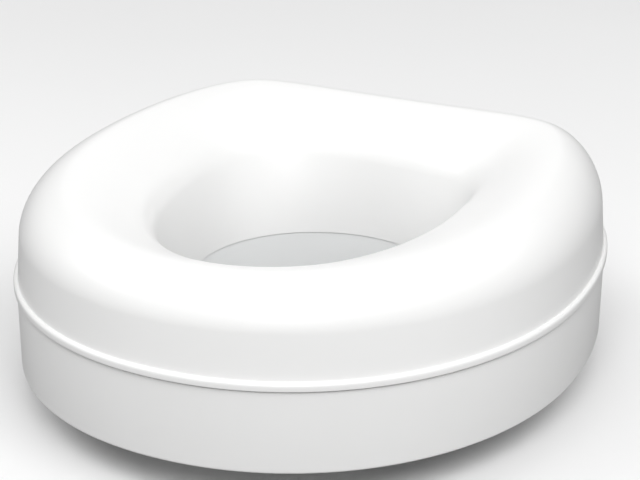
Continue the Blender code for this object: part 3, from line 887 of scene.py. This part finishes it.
def zinc_plate(name, colour):
    """Bright zinc on steel: cloudy tone, uneven polish and faint drawing lines round the screw's axis."""
    look, tree, shader, where = new_material(name)
    cool = (colour[0] * 0.9, colour[1] * 0.95, colour[2])
    tree.links.new(tone(tree, noise(tree, where, 0.0012, 3.0), cool, colour), shader.inputs["Base Color"])
    tree.links.new(spread(tree, noise(tree, where, 0.0006, 3.0), 0.24, 0.42), shader.inputs["Roughness"])
    names = dict(wave_type="RINGS", rings_direction="Z", Scale=2500, Distortion=2)
    rings = add(tree, "ShaderNodeTexWave", Vector=where, **names)
    tree.links.new(bump(tree, rings.outputs["Fac"], 0.00001, 0.4), shader.inputs["Normal"])
    shader.inputs["Metallic"].default_value = 1.0
    return look


def studio_floor():
    """A pale floor that throws only a little of its light back up, so that the seat keeps its modelling."""
    look, tree, shader, where = new_material("studio_floor")
    seen = tone(tree, noise(tree, where, 0.5), FLOOR_TONE[0], FLOOR_TONE[1])
    mix = tree.nodes.new("ShaderNodeMixRGB")
    mix.inputs["Color1"].default_value = (*FLOOR_BOUNCE, 1)
    tree.links.new(seen, mix.inputs["Color2"])
    tree.links.new(tree.nodes.new("ShaderNodeLightPath").outputs["Is Camera Ray"], mix.inputs["Fac"])
    tree.links.new(mix.outputs["Color"], shader.inputs["Base Color"])
    shader.inputs["Roughness"].default_value = 0.9
    shader.inputs["Specular IOR Level"].default_value = 0.0
    return look


# ---------------------------------------------------------------- the studio


def floor():
    bpy.ops.mesh.primitive_plane_add(size=60, location=(0, 0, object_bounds()[0].z))
    ground = bpy.context.object
    ground.name = "floor"
    ground.data.materials.append(studio_floor())
    ground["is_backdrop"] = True


def direction(azimuth, elevation):
    """The way from the seat to something at these degrees. Azimuth 0 is in front, and 90 to the right."""
    azimuth, elevation = math.radians(azimuth), math.radians(elevation)
    level = math.cos(elevation)
    return Vector((math.sin(azimuth) * level, -math.cos(azimuth) * level, math.sin(elevation)))


def softbox(name, azimuth, elevation, size, power):
    """A square light that looks at the seat."""
    light = bpy.data.lights.new(name, "AREA")
    light.size = size
    light.energy = power
    lamp = bpy.data.objects.new(name, light)
    away = direction(azimuth, elevation)
    lamp.location = CAMERA_TARGET + LIGHT_DISTANCE * away
    lamp.rotation_euler = (-away).to_track_quat("-Z", "Y").to_euler()
    lamp.visible_camera = False
    bpy.context.scene.collection.objects.link(lamp)


def lights():
    world = bpy.data.worlds.new("studio")
    bpy.context.scene.world = world
    world.use_nodes = True
    world.node_tree.nodes["Background"].inputs["Color"].default_value = (1, 1, 1, 1)
    world.node_tree.nodes["Background"].inputs["Strength"].default_value = WORLD_STRENGTH
    for name, settings in SOFTBOXES.items():
        softbox(name, *settings)


def camera():
    data = bpy.data.cameras.new("camera")
    data.lens = CAMERA_LENS
    data.shift_x, data.shift_y = CAMERA_SHIFT
    eye = bpy.data.objects.new("camera", data)
    back = direction(CAMERA_AZIMUTH, CAMERA_ELEVATION)
    roll = Matrix.Rotation(math.radians(CAMERA_ROLL), 4, "Z")
    aim = (-back).to_track_quat("-Z", "Y").to_matrix().to_4x4()
    eye.matrix_world = Matrix.Translation(CAMERA_TARGET + CAMERA_DISTANCE * back) @ aim @ roll
    bpy.context.scene.collection.objects.link(eye)
    bpy.context.scene.camera = eye


# ---------------------------------------------------------------- all of it

seat_plastic = moulded_plastic("seat_plastic", (0.90, 0.90, 0.895), 0.31, 0.00002)
base_plastic = moulded_plastic("base_plastic", (0.88, 0.88, 0.875), 0.34, 0.00003)
# the guard's plastic is set darker than the seat's: painted shade for the shaded inside of the opening
# below the collar's edge
guard_plastic = moulded_plastic("guard_plastic", (0.84, 0.85, 0.85), 0.36, 0.00003)
stand_for(seat_shell(), "seat_shell", seat_plastic)
stand_for(base_shell(), "base_shell", base_plastic)
guard = settle(closed_loft("splash_guard_skin", guard_section()))
stand_for(guard, "splash_guard", guard_plastic)
pads(rubber("pad_rubber", (0.42, 0.43, 0.44)))
screws(zinc_plate("screw_steel", (0.60, 0.60, 0.61)))
floor()
lights()
camera()
bpy.context.scene.view_settings.view_transform = "Standard"
